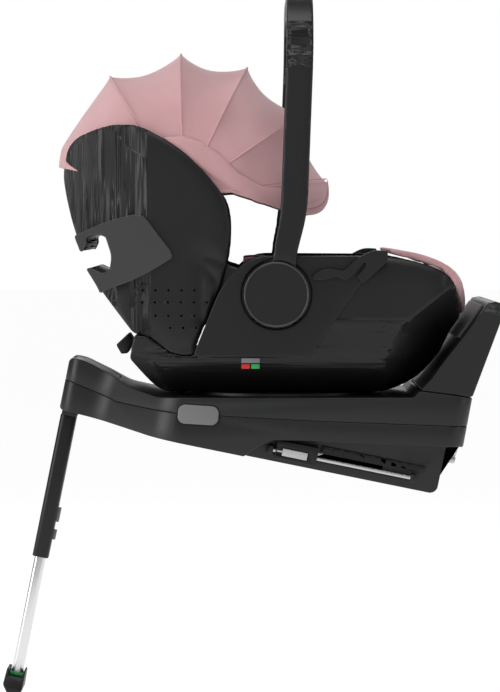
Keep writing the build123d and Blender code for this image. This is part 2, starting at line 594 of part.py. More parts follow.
belt_side = flowing([
    (-212, 264), (-193, 264), (-173, 270), (-160, 263), (-148, 273), (-132, 292), (-129, 288),
    (-143, 270), (-136, 258), (-98, 292), (-98, 308), (-120, 309), (-142, 298), (-163, 278),
    (-186, 282), (-205, 276),
])
node("lap_belt_guides", both(belt_side, SHIELD_IN + SHIELD_THICK + 0.1, SHIELD_IN + SHIELD_THICK + 11))

# Foam and cushion of the seat lie one inside the other.
seat_soft = flowing([
    (-318, 120), (-318, 300), (-298, 303), (-98, 300), (-60, 294), (-20, 281), (2, 262), (14, 230),
    (24, 188), (-60, 110),
])
LINER_SEAT = SHELL_HALF - SHELL_WALL - EAR_THICK - EAR_GAP - 0.7


def layer(outline, space, depth, thick, half):
    """One skin of the bucket: what the outline holds between two depths inside the open space."""
    outer = middle(outline & grown(space, -depth), half)
    return outer - middle(grown(space, -depth - thick), half - thick)


seat_open = polygon([
    (-600, 136), (-95, 142), (2, 215), (-8, 262), (-55, 600), (-600, 600),
])
seat_foam = layer(seat_soft, seat_open, GAP, FOAM, LINER_SEAT)
seat_cushion = layer(seat_soft, seat_open, GAP * 2 + FOAM, PAD, LINER_SEAT - FOAM - GAP)
foam_out = SHELL_WALL + GAP
cushion_out = foam_out + FOAM + GAP
node("seat_foam", seat_foam & between_sides(foam_out) & in_bowl(foam_out))
node("seat_cushion", seat_cushion & between_sides(cushion_out) & in_bowl(cushion_out))

# The cover folds over the rim of the seat shell as a soft roll.
ROLL = 9.0
edge_side = flowing([
    (24, 192), (14, 232), (2, 264), (-20, 283), (-60, 296), (-97, 302),
    (-97, 302 + ROLL - 2), (-58, 296 + ROLL), (-14, 282 + ROLL), (9, 266 + ROLL / 2),
    (22, 236), (31, 196),
])
edge = middle(edge_side, SHELL_HALF - 4) & (bowl + block((-98, 60), (-300, 300), (205, 400)))
edge &= endwise(seat_view, -620, 60)
node("seat_cover_edge", (edge & bowl) - seat_bulk - middle(grown(seat_space, -6), 170))
node("seat_shell", seat_shell)

# Rearward tilt handle under the back of the seat shell.
recline_side = flowing([(-508, 162), (-489, 180), (-481.5, 168), (-490, 149), (-500, 148)])
node("recline_handle", middle(recline_side, 46))

# Buckle with its release button, on a strap out of the seat.
BUCKLE_TURN = Pos(-264, 0, 216) * Rot(0, 14, 0)
buckle = BUCKLE_TURN * Box(18, 58, 44)
release = BUCKLE_TURN * Pos(8, 0, 0) * Box(6, 26, 24)
release_room = BUCKLE_TURN * Pos(8.4, 0, 0) * Box(12, 26 + 2 * GAP, 24 + 2 * GAP)
node("buckle_body", buckle - release_room)
node("buckle_button", release)
strap_foot = BUCKLE_TURN * Pos(0, 0, -28) * Box(3, 38, 11)
node("crotch_strap", strap_foot)
adjuster = Pos(-88, 0, 200) * Rot(0, -37, 0) * Box(30, 28, 5)
node("harness_adjuster", adjuster)

# ---- Back shell ---------------------------------------------------------------------------------
NOTCH = [(-553, 302), (-545, 318), (-547, 327), (-530, 333), (-517, 328), (-508, 300),
         (-511, 280), (-521, 274), (-540, 283), (-546, 281)]
back_points = [
    (x - PART_GAP, z + PART_GAP) for x, z in PARTING
] + [(-477, 186), (-515, 235), (-530, 255)] + NOTCH[::-1] + [
    (-562, 325), (-572, 355), (-581, 390), (-587, 422), (-578, 462), (-562, 478), (-540, 487),
    (-510, 496), (-470, 496), (-428, 474), (-400, 455), (-362, 418), (-336, 382), (-331, 345),
    (-334, 300),
]
back_side = flowing(back_points)
HEAD_R = 140.0              # plan radius of the corners at the head end
back_plan = polygon([
    (-588, -SHELL_HALF + 4), (-300, -SHELL_HALF), (-300, SHELL_HALF), (-588, SHELL_HALF - 4),
], radius=[HEAD_R, 1, 1, HEAD_R])
back_space = polygon([
    (-150, 160), (-402, 160), (-424, 163), (-452, 188), (-472, 191), (-499, 226), (-500, 336),
    (-530, 340), (-567, 356), (-577, 392), (-582, 422), (-576, 452), (-576, 640), (-150, 640),
])
back_line = polygon([
    (-150, 168), (-410, 170), (-452, 198), (-562, 445), (-562, 640), (-150, 640),
])
SPACE_HALF = SHELL_HALF - SHELL_WALL


def plan_inside(amount):
    """The plan of the back shell, shrunk by an amount."""
    return upright(grown(back_plan, -amount), 0, 700)


back_bulk = middle(back_side, 260) & plan_inside(0)
back_void = middle(back_space, SPACE_HALF) & plan_inside(SHELL_WALL)
back_shell = back_bulk - back_void
ear_side = polygon([(HUB_X, HUB_Z + 22), (HUB_X, HUB_Z - 22), (-372, 196), (-372, 300)])
ear_side += Pos(HUB_X, HUB_Z) * Circle(22)
EAR = (SPACE_HALF - EAR_THICK - EAR_GAP, SPACE_HALF - EAR_GAP)

# The cushion and the foam, then the room that the canopy ribs need between them and the shell.
back_soft = flowing([
    (-382, 168), (-346, 262), (-330, 300), (-330, 345), (-338, 386), (-362, 418), (-428, 470),
    (-470, 486), (-600, 500), (-600, 160),
])
pad_soft = flowing([
    (-376, 170), (-334, 266), (-320, 292), (-320, 350), (-330, 388), (-356, 422), (-426, 476),
    (-470, 490), (-600, 500), (-600, 160),
])
back_foam = middle(back_soft & grown(back_space, -GAP), LINER_HALF) & plan_inside(24)
back_foam -= middle(grown(back_line, -FOAM), LINER_HALF - FOAM)
back_cushion = layer(pad_soft, back_line, GAP + FOAM, PAD, LINER_HALF - FOAM - GAP)
back_cushion &= plan_inside(24 + FOAM)

guide_side = flowing([
    (-563, 330), (-520, 350), (-475, 362), (-460, 360), (-419, 306), (-418, 297), (-450, 277),
    (-480, 262), (-510, 252), (-525, 244),
] + [(-530, 255)] + NOTCH[::-1] + [(-562, 325)])
guide = both(guide_side, SHELL_HALF - 2, SHELL_HALF + 3)
node("shoulder_belt_guides", guide - back_bulk)

# Ears carry the back shell on the handle pins, inside the walls of the seat shell.
ears = both(ear_side - Pos(HUB_X, HUB_Z) * Circle(HUB_PIN_R + 0.05), *EAR)
bridge = both(polygon([(-350, 262), (-360, 222), (-376, 205), (-376, 290)]), EAR[0], SHELL_HALF - 2)
back_shell += ears + (bridge & back_bulk)
vents = Part()
for row, (z, x_from, count) in enumerate([(249, -462, 5), (231, -463, 6), (211, -443, 4), (193, -421, 3)]):
    for hole in range(count):
        x = x_from + 19.3 * hole
        vents += mirrored(rod(x, z, 1.75, SPACE_HALF - 2, SHELL_HALF + 2))
back_shell -= vents

# Canopy pins stand out of the shell walls.
back_shell += mirrored(rod(CANOPY_X, CANOPY_Z, 2.4, LINER_HALF + 1, SPACE_HALF + 1))
node("back_shell", back_shell)

# Headrest: a frame behind a padded head support, sliding up along the back.
BACK_RISE = (-110.0 / 272.2, 249.0 / 272.2)
BACK_OUT = (BACK_RISE[1], -BACK_RISE[0])


def on_back(along, out):
    """A side view place: so far up the back from the lower end of the space, and so far out of it."""
    return (-452 + along * BACK_RISE[0] + out * BACK_OUT[0],
            198 + along * BACK_RISE[1] + out * BACK_OUT[1])


INSIDE = FOAM + PAD + GAP * 2
CHILD_HALF = LINER_HALF - FOAM - PAD - GAP
HEAD_FROM, HEAD_TO = 128.0, 196.0
HEADREST_TRAVEL = 40.0
frame_side = polygon([
    on_back(HEAD_FROM, INSIDE + 1), on_back(HEAD_TO, INSIDE + 1),
    on_back(HEAD_TO, INSIDE + 6), on_back(HEAD_FROM, INSIDE + 6),
])
node("headrest_frame", middle(frame_side, CHILD_HALF - 4))
head_side = polygon([
    on_back(HEAD_FROM, INSIDE + 6.4), on_back(HEAD_TO, INSIDE + 6.4),
    on_back(HEAD_TO, INSIDE + 80), on_back(HEAD_FROM + 10, INSIDE + 80),
])
head_inner = polygon([
    on_back(HEAD_FROM - 20, INSIDE + 26), on_back(HEAD_TO + 20, INSIDE + 26),
    on_back(HEAD_TO + 20, INSIDE + 120), on_back(HEAD_FROM - 20, INSIDE + 120),
])
node("headrest_pad", middle(head_side, CHILD_HALF - 2) - middle(head_inner, CHILD_HALF - 24))

# Harness: two straps down the back to the buckle, with a soft pad on each.
STRAP = 3.0
strap_line = [on_back(120, INSIDE + 3), on_back(40, INSIDE + 3), (-336, 232), (-282, 246)]
strap_side = polygon(strap_line + [(x + 1.6, z + STRAP) for x, z in reversed(strap_line)])
node("shoulder_straps", both(strap_side, 20, 52))
strap_pad_side = polygon([
    on_back(116, INSIDE + 8), on_back(44, INSIDE + 8), on_back(44, INSIDE + 17), on_back(116, INSIDE + 17),
])
node("shoulder_pads", both(strap_pad_side, 12, 60))

# ---- Canopy -------------------------------------------------------------------------------------
RIB_STEP = 3.5              # each rib's pivot lies this much inside the next one's
RIB_START = CANOPY_HALF - CLOTH - 2.0
TUCK = 5.0                  # how far the ribs stay inside the crest of the fabric


def arch_face(reach, half):
    """Half of a flat arch: straight sides from the pivots, then a half ellipse over the top."""
    shape = Pos(CANOPY_STRAIGHT / 2, 0) * Rectangle(CANOPY_STRAIGHT, 2 * half)
    bend = Pos(CANOPY_STRAIGHT, 0) * Ellipse(reach - CANOPY_STRAIGHT, half)
    return shape + (bend & Pos(reach, 0) * Rectangle(2 * reach, 2 * half + 1))


def rib_plane(angle):
    """The plane through the pivots at an angle, with its own X pointing away from the pivots."""
    turn = math.radians(angle)
    return Plane(origin=(CANOPY_X, 0, CANOPY_Z), x_dir=(math.cos(turn), 0, math.sin(turn)),
                 z_dir=(-math.sin(turn), 0, math.cos(turn)))


for place, (name, angle) in enumerate(reversed(RIB_ANGLES.items())):
    half = RIB_START - RIB_STEP * place
    reach = CANOPY_REACH - TUCK
    hoop = arch_face(reach, half) - arch_face(reach - RIB, half - RIB)
    hoop = hoop - Rectangle(2, 500)
    rib = extrude(rib_plane(angle) * hoop, amount=RIB_WIDTH / 2, both=True)
    rib += mirrored(rod(CANOPY_X, CANOPY_Z, 6, half - RIB, half))
    rib -= mirrored(rod(CANOPY_X, CANOPY_Z, 2.8, half - RIB - 1, half + 1))
    node(name, rib)


def dome(reach, half, start=FABRIC_FROM, end=FABRIC_TO):
    """The half round volume under the fabric."""
    face = rib_plane(start) * arch_face(reach, half)
    return revolve(face, axis=Axis((CANOPY_X, 0, CANOPY_Z), (0, -1, 0)), revolution_arc=end - start)


# The soft lining stays under the ribs.
under_ribs = dome(CANOPY_REACH - TUCK - RIB - 2, LINER_HALF, 0, 180)
under_ribs += block((-700, 0), (-300, 300), (100, CANOPY_Z))
node("back_foam", back_foam & under_ribs)
node("back_cushion", back_cushion & under_ribs)

fabric = dome(CANOPY_REACH, CANOPY_HALF) - dome(CANOPY_REACH - CLOTH, CANOPY_HALF - CLOTH)
fabric &= block((FABRIC_REAR_X, 0), (-300, 300), (380, 700))
# At the head end the skirt is outside the shell, and along the sides it is tucked inside.
fabric -= middle(grown(polygon(back_points), 1.0), 260) & plan_inside(-1.0)
fabric -= rod(CANOPY_X, CANOPY_Z, 8, -300, 300)
skirt = sorted(fabric.solids(), key=lambda solid: solid.volume)[-1]
node("canopy_fabric", skirt)

# ---- Handle -------------------------------------------------------------------------------------
arm_face = flowing([
    (HUB_X - 7, HUB_Z + 30), (HUB_X - 4, HUB_Z + 70), (HUB_X + 6, HANDLE_TOP - 330),
    (HUB_X + 15, HANDLE_TOP - 90), (HUB_X + 15, HANDLE_TOP + 5),
    (HUB_X + 15 + ARM_DEPTH, HANDLE_TOP + 5), (HUB_X + 15 + ARM_DEPTH, HANDLE_TOP - 90),
    (HUB_X + 6 + ARM_DEPTH, HANDLE_TOP - 330), (HUB_X + 30, HUB_Z + 60), (HUB_X + 28, HUB_Z + 30),
])


def arch_view(half, top, bend):
    """End view of the space under an arch with round upper corners."""
    return polygon([
        (-half, HUB_Z - 20), (half, HUB_Z - 20), (half, top), (-half, top),
    ], radius=[4, 4, bend, bend])


ARM_THICK = OVERALL_HALF - ARM_IN
COVER = 3.0
arch = endwise(arch_view(OVERALL_HALF, HANDLE_TOP, BEND_R), -400, -100)
arch -= endwise(arch_view(ARM_IN, HANDLE_TOP - GRIP_THICK, BEND_R - ARM_THICK), -401, -99)
handle = middle(arm_face, 300) & arch
handle -= both(Pos(HUB_X, HUB_Z) * Circle(HUB_R), 190, 240)
handle += both(Pos(HUB_X, HUB_Z) * Circle(HUB_R), ARM_IN, OVERALL_HALF - COVER)
handle -= both(Pos(HUB_X, HUB_Z) * Circle(HUB_PIN_R + GAP), 190, 240)

# Each release key is let into the rear edge of its arm, just above the hub.
KEY = (300.0, 350.0)
key_face = polygon([
    (HUB_X - 4.5, KEY[0]), (HUB_X + 6, KEY[0]), (HUB_X + 14, KEY[1]), (HUB_X + 4.5, KEY[1]),
])
key_room = polygon([
    (HUB_X - 14, KEY[0] - GAP), (HUB_X + 9.6, KEY[0] - GAP), (HUB_X + 17.6, KEY[1] + GAP),
    (HUB_X - 6, KEY[1] + GAP),
])
KEY_Y = (ARM_IN + 3, OVERALL_HALF - 3)
handle -= both(key_room, KEY_Y[0] - GAP, KEY_Y[1] + GAP)
keys = sorted(both(key_face, *KEY_Y).solids(), key=lambda solid: solid.center().Y)
node("handle_button_right", keys[0])
node("handle_button_left", keys[1])
node("handle_hub_covers", both(Pos(HUB_X, HUB_Z) * Circle(HUB_R - GAP),
                               OVERALL_HALF - COVER, OVERALL_HALF))
node("handle_bar", handle)

for name, shape in NODES.items():
    shape.label = name
    export_step(shape, f"parts/{name}.step")
print(len(NODES), "nodes")
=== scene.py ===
# %% [markdown]
# An infant car seat on its rotating base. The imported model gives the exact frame: every shell, tube
# and joint already lies where it belongs. This lesson dresses that frame. Nothing here is moved or
# resized, so the first step is to load it and to keep its box, which the finished model has to fit.

# %% Load the frame
import json
import math
import bmesh
import bpy
import numpy as np
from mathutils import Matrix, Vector, kdtree

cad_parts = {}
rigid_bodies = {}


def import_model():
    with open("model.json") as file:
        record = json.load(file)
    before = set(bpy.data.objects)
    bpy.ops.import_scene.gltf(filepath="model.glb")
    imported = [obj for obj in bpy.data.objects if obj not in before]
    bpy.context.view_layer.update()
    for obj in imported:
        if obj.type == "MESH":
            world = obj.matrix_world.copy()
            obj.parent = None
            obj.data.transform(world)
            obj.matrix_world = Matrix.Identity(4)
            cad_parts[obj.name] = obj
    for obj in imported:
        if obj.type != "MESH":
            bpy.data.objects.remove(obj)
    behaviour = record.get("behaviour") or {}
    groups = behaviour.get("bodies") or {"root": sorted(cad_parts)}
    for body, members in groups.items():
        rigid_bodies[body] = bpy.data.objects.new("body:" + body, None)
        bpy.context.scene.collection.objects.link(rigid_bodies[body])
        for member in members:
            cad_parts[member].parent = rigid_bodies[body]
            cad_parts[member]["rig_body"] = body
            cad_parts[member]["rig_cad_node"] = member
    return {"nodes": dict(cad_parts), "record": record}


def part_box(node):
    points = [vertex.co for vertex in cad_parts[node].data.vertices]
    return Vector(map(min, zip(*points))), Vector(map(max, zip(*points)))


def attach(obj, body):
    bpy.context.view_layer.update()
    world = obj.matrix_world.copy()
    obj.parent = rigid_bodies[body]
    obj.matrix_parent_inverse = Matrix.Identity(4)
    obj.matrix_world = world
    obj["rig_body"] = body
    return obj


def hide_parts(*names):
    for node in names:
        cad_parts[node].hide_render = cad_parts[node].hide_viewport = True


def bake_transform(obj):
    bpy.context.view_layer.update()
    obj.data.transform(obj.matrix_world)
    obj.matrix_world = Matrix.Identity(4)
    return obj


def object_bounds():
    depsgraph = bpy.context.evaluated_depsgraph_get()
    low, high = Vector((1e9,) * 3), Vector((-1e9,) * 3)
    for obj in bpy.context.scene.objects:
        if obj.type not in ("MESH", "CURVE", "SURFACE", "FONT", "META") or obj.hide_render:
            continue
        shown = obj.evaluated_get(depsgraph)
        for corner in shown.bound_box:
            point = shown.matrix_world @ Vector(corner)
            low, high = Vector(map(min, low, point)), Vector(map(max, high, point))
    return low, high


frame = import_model()
cad_box = [list(corner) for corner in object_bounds()]
MM = 0.001
print("CAD box", [[round(value, 4) for value in corner] for corner in cad_box])

# %% [markdown]
# The seat is seen from far away, square to the side and a little from above.
# A long lens keeps the near and the far side the same size. The lights are large and soft, because
# satin black plastic is drawn by its reflections: a broad one above, one in front and a rim behind.

# %% Camera
VIEW_CENTRE = Vector((-0.3023, 0.0, 0.1584))
VIEW_HEIGHT = 1.0726
DISTANCE = 5.0
LIFT = math.radians(2.2)
SENSOR = 36.0

camera_data = bpy.data.cameras.new("side_camera")
camera_data.sensor_fit = "VERTICAL"
camera_data.sensor_height = SENSOR
camera_data.sensor_width = SENSOR
camera_data.lens = SENSOR * DISTANCE / VIEW_HEIGHT
camera = bpy.data.objects.new("side_camera", camera_data)
bpy.context.scene.collection.objects.link(camera)
camera.location = VIEW_CENTRE + Vector((0, -DISTANCE * math.cos(LIFT), DISTANCE * math.sin(LIFT)))
camera.rotation_euler = (math.pi / 2 - LIFT, 0, 0)
bpy.context.scene.camera = camera
print("lens", round(camera_data.lens, 1))


# %% Lights
def soft_light(name, place, size, power, aim=(-0.3, 0.0, 0.2)):
    """A square area light that looks at the middle of the seat."""
    data = bpy.data.lights.new(name, "AREA")
    data.shape = "RECTANGLE"
    data.size, data.size_y = size
    data.energy = power
    light = bpy.data.objects.new(name, data)
    bpy.context.scene.collection.objects.link(light)
    light.location = place
    light.rotation_euler = (Vector(aim) - Vector(place)).to_track_quat("-Z", "Y").to_euler()
    return light


soft_light("top_light", (-0.5, -0.7, 2.6), (2.4, 1.6), 40)
soft_light("left_light", (-2.4, -1.0, 0.7), (0.8, 2.0), 30)
soft_light("front_light", (-0.2, -3.6, 1.5), (2.4, 1.6), 8)
soft_light("right_light", (2.2, -1.0, 1.1), (1.0, 2.0), 12)
soft_light("rear_light", (-0.3, 2.6, 1.6), (2.6, 1.6), 26)

scene = bpy.context.scene
scene.view_settings.view_transform = "Standard"
world = bpy.data.worlds.new("studio")
scene.world = world
world.use_nodes = True
world_nodes = world.node_tree.nodes
world_links = world.node_tree.links
seen = world_nodes.new("ShaderNodeLightPath")
mixed = world_nodes.new("ShaderNodeMix")
mixed.data_type = "RGBA"
mixed.inputs["A"].default_value = (0.16, 0.16, 0.165, 1)
mixed.inputs["B"].default_value = (1.0, 1.0, 1.0, 1)
world_links.new(seen.outputs["Is Camera Ray"], mixed.inputs["Factor"])
world_links.new(mixed.outputs["Result"], world_nodes["Background"].inputs["Color"])

# %% [markdown]
# Moulded plastic is never flat: the tool leaves a fine grain, and hands polish the edges. Cloth has
# a weave of two crossed sets of threads, with painted shade between them, and its colour wanders a little.
# Both effects are used by several materials, so each is one shader group with its own values wherever it is
# placed.


# %% Shader groups
def new_group(name, inputs, outputs):
    """An empty shader group with named number inputs and outputs."""
    group = bpy.data.node_groups.new(name, "ShaderNodeTree")
    for label, value in inputs.items():
        kind = "NodeSocketColor" if isinstance(value, tuple) else "NodeSocketFloat"
        group.interface.new_socket(label, in_out="INPUT", socket_type=kind).default_value = value
    for label, kind in outputs.items():
        group.interface.new_socket(label, in_out="OUTPUT", socket_type=kind)
    entry = group.nodes.new("NodeGroupInput")
    leave = group.nodes.new("NodeGroupOutput")
    return group, entry, leave


def add(group, kind, **settings):
    """A node in a group or material, with its sockets and properties set by name."""
    made = group.nodes.new("ShaderNode" + kind)
    for label, value in settings.items():
        label = label.replace("_", " ")
        if label in made.inputs:
            made.inputs[label].default_value = value
        else:
            setattr(made, label.replace(" ", "_"), value)
    return made


def math_node(group, operation, first, second):
    """A Math node from two links or numbers."""
    made = add(group, "Math", operation=operation)
    for socket, value in zip(made.inputs, (first, second)):
        if isinstance(value, (int, float)):
            socket.default_value = value
        else:
            group.links.new(value, socket)
    return made.outputs[0]


def tinted(group, factor, dark, light):
    """A colour between two colours."""
    made = add(group, "Mix", data_type="RGBA")
    for label, value in (("Factor", factor), ("A", dark), ("B", light)):
        socket = made.inputs[label]
        if isinstance(value, tuple):
            socket.default_value = value
        else:
            group.links.new(value, socket)
    return made.outputs["Result"]


def moulded_grain():
    """Fine spark grain with a slow drift in gloss and worn, slightly lighter edges."""
    group, entry, leave = new_group(
        "moulded_grain",
        {"Colour": (0.02, 0.02, 0.02, 1), "Worn": (0.06, 0.06, 0.06, 1), "Roughness": 0.45,
         "Grain Scale": 900.0},
        {"Colour": "NodeSocketColor", "Roughness": "NodeSocketFloat", "Height": "NodeSocketFloat"})
    where = add(group, "TexCoord").outputs["Object"]
    grain = add(group, "TexNoise", Detail=3.0, Roughness=0.6)
    drift = add(group, "TexNoise", Scale=7.0, Detail=3.0)
    pits = add(group, "TexVoronoi", feature="F1")
    for texture in (grain, drift, pits):
        group.links.new(where, texture.inputs["Vector"])
    group.links.new(entry.outputs["Grain Scale"], grain.inputs["Scale"])
    group.links.new(entry.outputs["Grain Scale"], pits.inputs["Scale"])
    edge = add(group, "NewGeometry").outputs["Pointiness"]
    ramp = add(group, "ValToRGB")
    ramp.color_ramp.elements[0].position = 0.62
    ramp.color_ramp.elements[1].position = 0.80
    group.links.new(edge, ramp.inputs["Fac"])
    wear = math_node(group, "MULTIPLY", ramp.outputs["Color"], drift.outputs["Fac"])
    worn = tinted(group, wear, entry.outputs["Colour"], entry.outputs["Worn"])
    group.links.new(worn, leave.inputs["Colour"])
    sway = math_node(group, "MULTIPLY_ADD", drift.outputs["Fac"], 0.14)
    group.links.new(entry.outputs["Roughness"], sway.node.inputs[2])
    group.links.new(math_node(group, "SUBTRACT", sway, 0.07), leave.inputs["Roughness"])
    height = math_node(group, "MULTIPLY_ADD", pits.outputs["Distance"], 0.6)
    group.links.new(grain.outputs["Fac"], height.node.inputs[2])
    group.links.new(height, leave.inputs["Height"])
    return group


def woven_cloth():
    """Crossed threads as height, with painted shade darkening the colour between them, and the colour uneven
    overall.
    """
    group, entry, leave = new_group(
        "woven_cloth",
        {"Colour": (0.5, 0.3, 0.3, 1), "Shade": (0.3, 0.15, 0.15, 1), "Thread": 900.0},
        {"Colour": "NodeSocketColor", "Roughness": "NodeSocketFloat", "Height": "NodeSocketFloat"})
    where = add(group, "TexCoord").outputs["Object"]
    bands = []
    for direction in ("X", "Z"):
        wave = add(group, "TexWave", bands_direction=direction, Distortion=1.2, Detail=1.0)
        group.links.new(where, wave.inputs["Vector"])
        group.links.new(entry.outputs["Thread"], wave.inputs["Scale"])
        bands.append(wave.outputs["Fac"])
    weave = math_node(group, "MULTIPLY", bands[0], bands[1])
    fluff = add(group, "TexNoise", Scale=420.0, Detail=5.0, Roughness=0.7)
    cloud = add(group, "TexNoise", Scale=9.0, Detail=4.0)
    for texture in (fluff, cloud):
        group.links.new(where, texture.inputs["Vector"])
    # Painted shade: the weave pulls the colour towards Shade between the threads; the cloud and fluff noise
    # add random tone.
    mottle_and_thread_shade = math_node(group, "MULTIPLY_ADD", weave, 0.35)
    group.links.new(cloud.outputs["Fac"], mottle_and_thread_shade.node.inputs[2])
    speckle_and_thread_shade = math_node(group, "MULTIPLY_ADD", fluff.outputs["Fac"], 0.5)
    group.links.new(math_node(group, "SUBTRACT", mottle_and_thread_shade, 0.25), speckle_and_thread_shade.node.inputs[2])
    group.links.new(tinted(group, speckle_and_thread_shade, entry.outputs["Shade"], entry.outputs["Colour"]),
                    leave.inputs["Colour"])
    rough = math_node(group, "MULTIPLY_ADD", cloud.outputs["Fac"], 0.12)
    rough.node.inputs[2].default_value = 0.8
    group.links.new(rough, leave.inputs["Roughness"])
    height = math_node(group, "ADD", weave, fluff.outputs["Fac"])
    group.links.new(height, leave.inputs["Height"])
    return group


GRAIN = moulded_grain()
WEAVE = woven_cloth()
print("groups", [group.name for group in bpy.data.node_groups])


# %% [markdown]
# Each finish is a Principled shader fed by one of the groups. Metallic, sheen and coat are the same
# all over a piece, so they are set on the shader itself, where the export can read them.


# %% Materials
def finish_of(name, group, values, bump, deep, **sockets):
    """A material whose colour, roughness and bump come from one shader group."""
    material = bpy.data.materials.new(name)
    material.use_nodes = True
    tree = material.node_tree
    shader = tree.nodes["Principled BSDF"]
    effect = tree.nodes.new("ShaderNodeGroup")
    effect.node_tree = group
    for label, value in values.items():
        effect.inputs[label].default_value = value
    for label, value in sockets.items():
        shader.inputs[label.replace("_", " ")].default_value = value
    lift = tree.nodes.new("ShaderNodeBump")
    lift.inputs["Strength"].default_value = bump
    lift.inputs["Distance"].default_value = deep
    tree.links.new(effect.outputs["Colour"], shader.inputs["Base Color"])
    tree.links.new(effect.outputs["Roughness"], shader.inputs["Roughness"])
    tree.links.new(effect.outputs["Height"], lift.inputs["Height"])
    tree.links.new(lift.outputs["Normal"], shader.inputs["Normal"])
    return material


def plastic(name, colour, worn, roughness, scale=900.0, bump=0.25, **sockets):
    """Moulded plastic: its colour, the colour of its edges, its gloss and the size of its grain."""
    values = {"Colour": (*colour, 1), "Worn": (*worn, 1), "Roughness": roughness, "Grain Scale": scale}
    return finish_of(name, GRAIN, values, bump, 0.0002, **sockets)


def cloth(name, colour, shade, thread=900.0, bump=0.5, sheen=0.35):
    """Woven cloth: its lit colour, its shaded colour and its threads to the metre."""
    values = {"Colour": (*colour, 1), "Shade": (*shade, 1), "Thread": thread}
    return finish_of(name, WEAVE, values, bump, 0.0004, Sheen_Weight=sheen, Sheen_Roughness=0.5)


def grey(value, warm=0.0):
    """A neutral colour, slightly warm or cool."""
    return (value * (1 + warm), value, value * (1 - warm))


FINISH = {
    "shell_black": plastic("shell_black", grey(0.0065, -0.03), grey(0.015), 0.42, Specular_IOR_Level=0.34),
    "base_black": plastic("base_black", grey(0.010, -0.03), grey(0.02), 0.42, Specular_IOR_Level=0.38),
    "guide_grey": plastic("guide_grey", grey(0.035), grey(0.06), 0.36, 900.0, 0.12, Specular_IOR_Level=0.5),
    "grey_plastic": plastic("grey_plastic", grey(0.16), grey(0.24), 0.5),
    "rebound_grey": plastic("rebound_grey", grey(0.09), grey(0.13), 0.62, 260.0, 0.7),
    "rose_fabric": cloth("rose_fabric", (0.62, 0.36, 0.37), (0.42, 0.205, 0.22)),
    "burgundy_lining": cloth("burgundy_lining", (0.17, 0.045, 0.06), (0.07, 0.018, 0.025)),
    "foam_white": plastic("foam_white", grey(0.72), grey(0.8), 0.8, 220.0, 0.6),
    "strap_black": cloth("strap_black", grey(0.03), grey(0.012), 1500.0, 0.6, 0.15),
    "steel": plastic("steel", grey(0.55), grey(0.7), 0.32, 500.0, 0.1, Metallic=1.0),
    "aluminium": plastic("aluminium", grey(0.78), grey(0.85), 0.34, 700.0, 0.08, Metallic=1.0),
    "red_plastic": plastic("red_plastic", (0.5, 0.015, 0.015), (0.6, 0.05, 0.05), 0.35),
    "green_plastic": plastic("green_plastic", (0.02, 0.30, 0.07), (0.05, 0.4, 0.12), 0.35),
    "rubber_black": plastic("rubber_black", grey(0.015), grey(0.03), 0.75, 400.0, 0.6),
    "light_plastic": plastic("light_plastic", grey(0.5), grey(0.6), 0.5),
    "hub_rim": plastic("hub_rim", grey(0.03), grey(0.09), 0.26, 900.0, 0.08),
    "thread_rose": plastic("thread_rose", (0.42, 0.20, 0.21), (0.5, 0.3, 0.3), 0.8, 1500.0, 0.5),
    "studio_floor": plastic("studio_floor", grey(0.10), grey(0.11), 0.9, 60.0, 0.02,
                            Emission_Color=(1, 1, 1, 1), Emission_Strength=0.95),
}
node_slot = {entry["node"]: entry["material_slot"] for entry in frame["record"]["subparts"]}
for node_name, node_object in frame["nodes"].items():
    node_object.data.materials.clear()
    node_object.data.materials.append(FINISH[node_slot[node_name]])
print(len(FINISH), "finishes on", len(frame["nodes"]), "nodes")

# %% [markdown]
# The floor is one plain sheet just under the foot of the support leg.

# %% Floor
FLOOR_GAP = 0.002
floor_z = cad_box[0][2] - FLOOR_GAP
bpy.ops.object.select_all(action="DESELECT")
bpy.ops.mesh.primitive_plane_add(size=60, location=(0, 0, floor_z))
floor = bpy.context.active_object
floor.name = "studio_floor"
floor.data.materials.append(FINISH["studio_floor"])
print("floor at", round(floor_z, 4))


# %% [markdown]
# Most pieces start from a copy of the CAD solid, because its size and place are right and only its
# edges are too sharp. Small hard pieces get a bevel. Large shells are remeshed as one skin, their
# side faces are crowned towards the outline as a moulded shell is, and the skin is smoothed.


# %% Helpers for pieces
def only(piece):
    """Selects one object and nothing else."""
    if bpy.context.object and bpy.context.object.mode != "OBJECT":
        bpy.ops.object.mode_set(mode="OBJECT")
    bpy.ops.object.select_all(action="DESELECT")
    piece.select_set(True)
    bpy.context.view_layer.objects.active = piece


def copied(node, name):
    """A merged copy of a CAD node's mesh as a new piece."""
    piece = frame["nodes"][node].copy()
    piece.data = piece.data.copy()
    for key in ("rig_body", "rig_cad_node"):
        if key in piece:
            del piece[key]
    piece.parent = None
    piece.name = name
    piece.hide_render = False
    piece.hide_viewport = False
    bpy.context.scene.collection.objects.link(piece)
    only(piece)
    bpy.ops.object.mode_set(mode="EDIT")
    bpy.ops.mesh.select_all(action="SELECT")
    bpy.ops.mesh.remove_doubles(threshold=0.00002)
    bpy.ops.object.mode_set(mode="OBJECT")
    return piece


def apply_modifier(piece, kind, **settings):
    """Adds one modifier, sets it and applies it."""
    only(piece)
    modifier = piece.modifiers.new(kind.lower(), kind)
    for label, value in settings.items():
        setattr(modifier, label, value)
    bpy.ops.object.modifier_apply(modifier=modifier.name)


def points_of(piece):
    """The mesh's points as an array."""
    flat = np.empty(len(piece.data.vertices) * 3, np.float32)
    piece.data.vertices.foreach_get("co", flat)
    return flat.reshape(-1, 3).astype(float)


def normals_of(piece):
    """The mesh's point normals as an array."""
    flat = np.empty(len(piece.data.vertices) * 3, np.float32)
    piece.data.vertices.foreach_get("normal", flat)
    return flat.reshape(-1, 3).astype(float)


def set_points(piece, points):
    """Puts the points back."""
    piece.data.vertices.foreach_set("co", points.astype(np.float32).ravel())
    piece.data.update()


